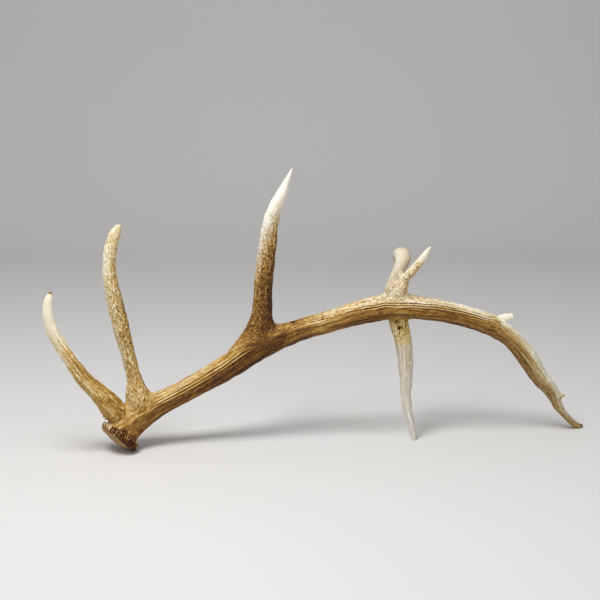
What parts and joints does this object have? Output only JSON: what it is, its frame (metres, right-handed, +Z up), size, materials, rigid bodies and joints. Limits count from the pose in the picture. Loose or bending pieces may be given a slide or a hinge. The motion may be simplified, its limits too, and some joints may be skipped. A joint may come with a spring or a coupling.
{
  "type": "deer antler",
  "caption": "Shed deer antler: a long curved main stem from a knobbly burr, with tall pointed tines, a small crown and a tapering tip; it lies on burr, tine and tip.",
  "frame": {"origin": "middle of the bounding box at the table, where the antler's burr, hanging tine and tip rest", "axes": "+X from the burr to the tip of the main stem, +Y away from the viewer of the picture, +Z up"},
  "size_m": [1.169, 0.2288, 0.6054],
  "materials": {
    "stem_bark": "rough brown antler with pale ridges and dark grooves along it",
    "pale_bark": "pale cream to tan antler with small pearls and a brown underside",
    "pearled_tine": "brown antler with small cream pearls, turning to smooth ivory at the tip",
    "ivory": "smooth pale antler worn to a soft shine, with fine grain along it"
  },
  "bodies": {
    "root": {"beam_lower": "stem_bark", "beam_middle": "stem_bark", "beam_upper": "pale_bark", "brow_tine": "pearled_tine", "bez_tine": "pearled_tine", "trez_tine": "pearled_tine", "hanging_tine": "ivory", "curled_prong": "ivory", "thin_prong": "ivory"}
  },
  "joints": []
}
